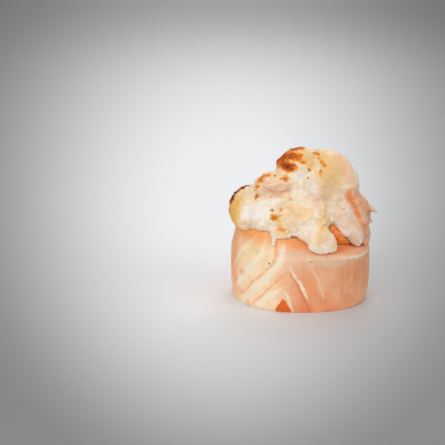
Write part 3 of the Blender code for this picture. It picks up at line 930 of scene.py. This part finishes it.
# Torching's colours, from the palest to char: (how burnt a place is where the colour starts and
# where it is full, its share, the colour).
TORCH_COLOURS = [
    (0.0, 0.4, 0.75, (250, 202, 104)),
    (0.25, 0.65, 0.92, (240, 136, 10)),
    (0.7, 1.35, 0.95, (184, 72, 0)),
    (1.45, 2.15, 0.95, (62, 34, 20)),
]
SPECKS = [  # what Nodes.dots takes, from how far apart they are
    (2.1, (0.13, 0.07), (0.62, 0.68), 0.7, (214, 130, 58)),
    (1.4, (0.19, 0.12), (0.72, 0.78), 0.55, (196, 138, 62)),
]


def add_torching(nodes, colour):
    """Golden, orange and charred places on a colour, and tiny scattered specks."""
    torch = nodes.attribute("torch")
    ragged = nodes.noise(1.5, 5, 0.75)
    fine = nodes.noise(0.5, 3, 0.7)
    burnt = nodes.math("ADD", torch, nodes.math("MULTIPLY", nodes.math("SUBTRACT", ragged, 0.55), 3.6))
    burnt = nodes.math("ADD", burnt, nodes.math("MULTIPLY", nodes.math("SUBTRACT", fine, 0.5), 2.0))
    burnt = nodes.math("MULTIPLY", burnt, nodes.step(torch, 0.0, 0.35))
    for low, high, share, tint in TORCH_COLOURS:
        colour = nodes.mix(nodes.step(burnt, low, high, 0, share), colour, linear(*tint))
    for speck in SPECKS:
        colour = nodes.dots(colour, *speck)
    return colour, burnt


def add_marks(nodes, colour, uneven, **shares):
    """Lays the marks' colours on a colour, each by its share, a little unevenly."""
    for kind, share in shares.items():
        uneven_share = nodes.step(uneven, 0.3, 0.6, 0.6 * share, share)
        strength = nodes.math("MULTIPLY", nodes.attribute(kind), uneven_share)
        colour = nodes.mix(nodes.math("MINIMUM", strength, 1.0), colour, linear(*MARK_COLOURS[kind]))
    return colour


def cream_material():
    """Cream sauce over seafood: pale, a little yellow where it is oily, torched in places."""
    nodes = Nodes("cream_sauce_look")
    small = nodes.noise(1.3, 3, 0.6)
    tint = nodes.math("ADD", nodes.attribute("tint"), nodes.math("SUBTRACT", small, 0.5))
    colour = nodes.mix(nodes.step(tint, -0.5, 0.35), linear(245, 226, 193), linear(252, 243, 229))
    colour = nodes.patches(colour, 1.7, 0.54, 0.64, 0.5, (248, 200, 168))
    colour = nodes.patches(colour, 2.4, 0.54, 0.64, 0.5, (247, 220, 160))
    # The creases' and the dulled places' colours are painted shade.
    colour = add_marks(
        nodes, colour, small, crease=0.45, gold=0.92, pink=0.8, white=0.8, vein=0.7, salmon=0.9, dull=0.6
    )
    colour, burnt = add_torching(nodes, colour)
    rough = nodes.step(burnt, 0.4, 0.9, 0.45, 0.7)
    height = nodes.math("ADD", nodes.noise(0.8, 4, 0.6), nodes.math("MULTIPLY", burnt, 0.5))
    nodes.bump(height, 0.22, 0.6)
    return nodes.finish(colour, rough, 0.35, 2.0, coat=0.05, coat_roughness=0.3, specular=0.3)


def prawn_material():
    """Prawn meat: white with pink veins across it, under a thin cream."""
    nodes = Nodes("prawn_look")
    small = nodes.noise(0.9, 3, 0.6)
    tint = nodes.math("ADD", nodes.attribute("tint"), nodes.math("SUBTRACT", small, 0.5))
    colour = nodes.mix(nodes.step(tint, -0.4, 0.4), linear(240, 212, 188), linear(248, 232, 216))
    # The creases' and the dulled places' colours are painted shade.
    colour = add_marks(
        nodes, colour, small, crease=0.35, pink=0.75, gold=0.5, white=0.8, vein=0.9, salmon=0.9, dull=0.6
    )
    colour, burnt = add_torching(nodes, colour)
    rough = nodes.step(burnt, 0.4, 0.9, 0.4, 0.65)
    nodes.bump(nodes.noise(0.7, 4, 0.6), 0.2, 0.6)
    return nodes.finish(colour, rough, 0.4, 2.2, coat=0.05, coat_roughness=0.25, specular=0.35)


def salmon_flesh(nodes, broad_mm=6.0):
    """Raw salmon's orange-pink, with fine fibres and a mottled grain."""
    broad = nodes.noise(broad_mm, 3, 0.55)
    fibre = nodes.noise(0.9, 3, 0.6, stretch=(1, 1, 0.3))
    grain = nodes.noise(0.7, 4, 0.7)
    colour = nodes.mix(nodes.step(broad, 0.35, 0.68), linear(238, 168, 124), linear(231, 153, 108))
    colour = nodes.mix(nodes.step(fibre, 0.45, 0.72, 0, 0.45), colour, linear(240, 190, 152))
    colour = nodes.mix(nodes.step(grain, 0.52, 0.68, 0, 0.3), colour, linear(212, 132, 94))
    return nodes.mix(nodes.step(grain, 0.46, 0.32, 0, 0.3), colour, linear(242, 196, 160))


AREA_COLOURS = {  # area: share, colour
    "yellow": (0.8, (240, 206, 150)),
    "pale": (0.8, (240, 213, 183)),
    "tan": (0.8, (228, 184, 142)),
    "blush": (0.8, (240, 158, 130)),
    # Painted shade in part.
    "deep_tone_and_shade": (0.9, (246, 158, 90)),
    # Painted light.
    "painted_light_under_topping": (0.9, (255, 172, 88)),
    # A painted reflection in part.
    "amber_and_painted_reflection": (0.95, (250, 142, 68)),
    # Painted shade in part.
    "rust_tone_and_shade": (0.85, (232, 122, 70)),
}


def wrap_material():
    """The slice of salmon: flesh, deep places, pale fat bands, white lines and thin seams."""
    nodes = Nodes("salmon_slice_look")
    ragged = nodes.math("MULTIPLY", nodes.math("SUBTRACT", nodes.noise(0.9, 3, 0.6), 0.5), 1.1)
    left = nodes.attribute("left")
    colour = salmon_flesh(nodes)

    def lay(name, inner, outer, share, red, green, blue):
        """Lays a colour where the attribute is below the outer value, in full below the inner one."""
        nonlocal colour
        near = nodes.step(nodes.math("ADD", nodes.attribute(name), ragged), outer, inner, 0, share)
        colour = nodes.mix(near, colour, linear(red, green, blue))

    def tinge(name):
        nonlocal colour
        share, tint = AREA_COLOURS[name]
        colour = nodes.mix(nodes.math("MULTIPLY", nodes.attribute(name), share), colour, linear(*tint))

    colour = nodes.mix(nodes.math("MULTIPLY", left, 0.85), colour, linear(255, 234, 196))
    for size_mm, tint in ((2.3, (250, 194, 152)), (3.1, (250, 222, 156)), (1.7, (238, 202, 160))):
        patch = nodes.step(nodes.noise(size_mm, 2, 0.6), 0.5, 0.68, 0, 0.55)
        colour = nodes.mix(nodes.math("MULTIPLY", patch, left), colour, linear(*tint))
    tinge("yellow")
    tinge("pale")
    # Orange down the left edge, partly a painted reflection.
    tinge("amber_and_painted_reflection")
    lay("band", -0.7, 0.6, 0.85, 246, 232, 208)
    # The rim's pale band, partly a painted highlight along the shoulder.
    lay("rim", 0.4, 1.4, 0.35, 226, 180, 144)
    lay("rim", -0.6, 0.6, 0.75, 228, 194, 162)
    lay("pale_line", -0.4, 0.6, 0.65, 240, 208, 174)
    lay("white_line", -0.4, 0.4, 0.95, 248, 228, 204)
    lay("salmon_line", -0.3, 0.4, 0.75, 240, 174, 134)
    lay("seam", -0.1, 0.3, 0.5, 214, 126, 84)
    tinge("tan")
    tinge("blush")
    # Painted shade under the topping's edge, and the flesh's deeper spots.
    tinge("deep_tone_and_shade")
    # Painted light under the topping's edge.
    tinge("painted_light_under_topping")
    # Painted shade on the top face under the topping, and darker spots low down.
    tinge("rust_tone_and_shade")
    lay("deep_band", -0.3, 0.5, 0.85, 222, 124, 76)
    lay("triangle", -0.1, 0.15, 0.98, 222, 102, 0)
    colour = nodes.mix(nodes.step(nodes.attribute("speck"), 0.55, 0.3), colour, linear(72, 60, 22))
    rough = nodes.step(nodes.noise(1.8, 3, 0.6), 0.3, 0.7, 0.34, 0.5)
    nodes.bump(nodes.noise(0.6, 4, 0.6, stretch=(1, 1, 0.4)), 0.16, 0.6)
    return nodes.finish(colour, rough, 0.35, 2.5, coat=0.06, coat_roughness=0.25, specular=0.4)


# How far out along X the strip's frays start to pale and where they are palest, and how uneven that is.
FRAYS_FROM = (0.0228, 0.0252)
FRAY_UNEVENNESS = 0.004


def strip_material():
    """The strip of salmon that sticks out: orange along its front edge, paler in its thin frays."""
    nodes = Nodes("salmon_strip_look")
    colour = nodes.mix(0.2, salmon_flesh(nodes, 3.0), linear(250, 190, 150))
    colour = nodes.patches(colour, 1.6, 0.5, 0.62, 0.65, (244, 204, 170))
    colour = nodes.patches(colour, 1.1, 0.54, 0.66, 0.7, (226, 118, 62))
    colour = nodes.mix(nodes.math("MULTIPLY", nodes.attribute("pink"), 0.85), colour, linear(242, 204, 168))
    colour = nodes.mix(nodes.math("MULTIPLY", nodes.attribute("salmon"), 0.8), colour, linear(234, 128, 56))
    split = nodes.tree.nodes.new("ShaderNodeSeparateXYZ")
    nodes.link(nodes.place, split.inputs["Vector"])
    uneven = nodes.math("MULTIPLY", nodes.math("SUBTRACT", nodes.noise(1.2, 3, 0.6), 0.5), FRAY_UNEVENNESS)
    out = nodes.math("ADD", split.outputs["X"], uneven)
    colour = nodes.mix(nodes.step(out, *FRAYS_FROM, 0, 0.8), colour, linear(232, 208, 190))
    nodes.bump(nodes.noise(0.5, 4, 0.7, stretch=(1, 1, 0.5)), 0.3, 0.9)
    return nodes.finish(colour, 0.45, 0.45, 2.0, coat=0.05)


def deep_material():
    """Deep orange salmon and oil at the bottom of the topping's gap."""
    nodes = Nodes("salmon_deep_look")
    broad = nodes.step(nodes.noise(1.4, 3, 0.6), 0.35, 0.65)
    colour = nodes.mix(broad, linear(252, 150, 52), linear(238, 112, 26))
    colour = nodes.patches(colour, 0.8, 0.56, 0.64, 0.8, (255, 196, 70), roughness=0.7)
    colour = nodes.dots(colour, 0.9, (0.3, 0.18), (0.5, 0.55), 0.8, (140, 72, 14))
    nodes.bump(nodes.noise(0.8, 3, 0.6), 0.2, 0.5)
    return nodes.finish(colour, 0.35, 0.5, 4.0, coat=0.1)


def painted_pool_floor_material():
    """A pale floor with a painted pool of light round the object, painted darker away from it."""
    nodes = Nodes("floor_with_painted_light_pool")
    split = nodes.tree.nodes.new("ShaderNodeSeparateXYZ")
    nodes.link(nodes.place, split.inputs["Vector"])
    ahead = nodes.math("MAXIMUM", nodes.math("SUBTRACT", split.outputs["Y"], POOL_CONE_TIP[1]), 0.05)
    aside = nodes.math("DIVIDE", nodes.math("SUBTRACT", split.outputs["X"], POOL_CONE_TIP[0]), ahead)
    down = nodes.math("SUBTRACT", nodes.math("DIVIDE", POOL_CONE_TIP[2], ahead), POOL_MIDDLE)
    aside, down = (nodes.math("DIVIDE", slope, reach) for slope, reach in zip((aside, down), POOL_REACH))
    squares = nodes.math("ADD", nodes.math("POWER", aside, 2.0), nodes.math("POWER", down, 2.0))
    apart = nodes.math("SQRT", squares)
    # Painted light: pale in the pool, painted darker beyond its edge.
    colour = nodes.mix(nodes.step(apart, *POOL_EDGE), linear(244, 245, 247), linear(124, 125, 127))
    nodes.link(colour, nodes.shader.inputs["Base Color"])
    nodes.shader.inputs["Roughness"].default_value = 0.6
    return nodes.material


# ---------------------------------------------------------------- the stage


FLOOR_RADIUS = 4.0  # well past the picture's edges
LAMPS_AIM = Vector((0, 0, 0.025))
LAMPS = {  # name: place, size, power in watts
    "key_softbox": ((-0.26, -0.50, 0.27), 0.7, 1.9),
    "fill_softbox": ((0.50, -0.34, 0.34), 0.6, 1.0),
    "back_softbox": ((0.1, 0.5, 0.5), 0.5, 1.1),
}
WORLD_BRIGHTNESS = 0.58


def make_floor():
    bm = bmesh.new()
    bmesh.ops.create_circle(bm, cap_ends=True, segments=96, radius=FLOOR_RADIUS)
    mesh = bpy.data.meshes.new("floor")
    bm.to_mesh(mesh)
    bm.free()
    obj = linked("floor", mesh)
    mesh.materials.append(painted_pool_floor_material())


def aim(obj, place, target):
    """Puts a camera or a lamp at a place, looking at the target."""
    obj.location = place
    obj.rotation_mode = "QUATERNION"
    obj.rotation_quaternion = (target - place).to_track_quat("-Z", "Y")


def make_lamp(name, place, size, power):
    """A round soft lamp aimed at the object."""
    lamp = bpy.data.lights.new(name, "AREA")
    lamp.shape = "DISK"
    lamp.size = size
    lamp.energy = power
    obj = linked(name, lamp)
    aim(obj, Vector(place), LAMPS_AIM)


def make_camera():
    data = bpy.data.cameras.new("camera")
    data.lens = LENS_MM
    data.sensor_width = SENSOR_MM
    data.clip_start = 0.01
    obj = linked("camera", data)
    aim(obj, CAMERA_PLACE, CAMERA_AIM)
    bpy.context.scene.camera = obj


def light_scene():
    world = bpy.data.worlds.new("studio")
    bpy.context.scene.world = world
    world.use_nodes = True
    background = world.node_tree.nodes["Background"]
    background.inputs["Color"].default_value = (1.0, 1.0, 1.0, 1)
    background.inputs["Strength"].default_value = WORLD_BRIGHTNESS
    for name, (place, size, power) in LAMPS.items():
        make_lamp(name, place, size, power)
    bpy.context.scene.view_settings.view_transform = "Standard"


# ---------------------------------------------------------------- everything together

CREAM_PIECES = {  # node: voxel in mm
    "white_chunk": 0.35,
    "cream_drape": 0.35,
    "cream_lobe": 0.38,
    "sauced_slab": 0.42,
    "back_lobe": 0.42,
    "torched_mound": 0.40,
}
PRAWN_PIECES = {"prawn_flake": 0.33, "pink_prawn": 0.33, "back_prawn": 0.40}


def dress(obj, slot, material, *nodes):
    """Gives a piece its material under the root and hides its CAD nodes; the slot is not used."""
    obj.data.materials.append(material)
    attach(obj, "root")
    if nodes:
        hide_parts(*nodes)


def make_lumps(cream, prawn):
    """The topping's pieces of cream and prawn, by their nodes' names."""
    lumps = {}
    groups = (("cream_sauce", cream, CREAM_PIECES), ("prawn_meat", prawn, PRAWN_PIECES))
    for slot, material, pieces in groups:
        for node, voxel_mm in pieces.items():
            lumps[node] = refined(node, voxel_mm, SOFTNESS, TOPPING_GROWTH_MM)
            dress(lumps[node], slot, material, node)
    return lumps


def make_strip():
    obj = refined("salmon_strip", STRIP_VOXEL_MM, STRIP_SOFTNESS, STRIP_GROWTH_MM)
    dress(obj, "salmon", strip_material(), "salmon_strip")
    return obj


def make_chunk():
    obj = refined("salmon_chunk", CHUNK_VOXEL_MM, SOFTNESS, CHUNK_GROWTH_MM)
    dress(obj, "salmon_deep", deep_material(), "salmon_chunk")


def chop_sauce(sauce, wrap, strip):
    """Gives the sauce its marks and its relief.

    The relief fades towards the wrap and the strip, and the sauce takes the salmon's colour near the strip.
    """
    off_wrap, off_strip = height_off(sauce, [wrap]), height_off(sauce, [strip])
    share = smoothstep(*RELIEF_OFF_WRAP_MM, off_wrap) * smoothstep(*RELIEF_OFF_STRIP_MM, off_strip)
    chop(sauce, TOPPING_RELIEF * share, salmon=smoothstep(*SALMON_OFF_STRIP_MM, off_strip))


def roughen_strip(strip):
    """Gives the strip its marks and a fibrous relief."""
    for kind in ("pink", "salmon"):
        store(strip, kind, mark_strength(strip, kind))
    fibres = noise_at(strip, 1.2, 7, (1, 1, 3)) + 0.5 * noise_at(strip, 0.6, 8)
    push(strip, STRIP_RELIEF_MM * MM * fibres)


def main():
    noise.seed_set(RELIEF_SEED)
    make_camera()
    light_scene()
    make_floor()
    wrap = make_wrap()
    dress(wrap, "salmon", wrap_material(), "salmon_wrap")
    cream = cream_material()
    lumps = make_lumps(cream, prawn_material())
    flake = lumps.pop("prawn_flake")
    strip = make_strip()
    make_chunk()
    sauce = make_sauce(lumps.values(), [flake, strip])
    dress(sauce, "cream_sauce", cream)
    for obj in lumps.values():
        chop(obj, TOPPING_RELIEF)
    sink_away_from_lumps(sauce, wrap, [*lumps.values(), flake, strip])
    chop_sauce(sauce, wrap, strip)
    chop(flake, FLAKE_RELIEF)
    roughen_strip(strip)


main()
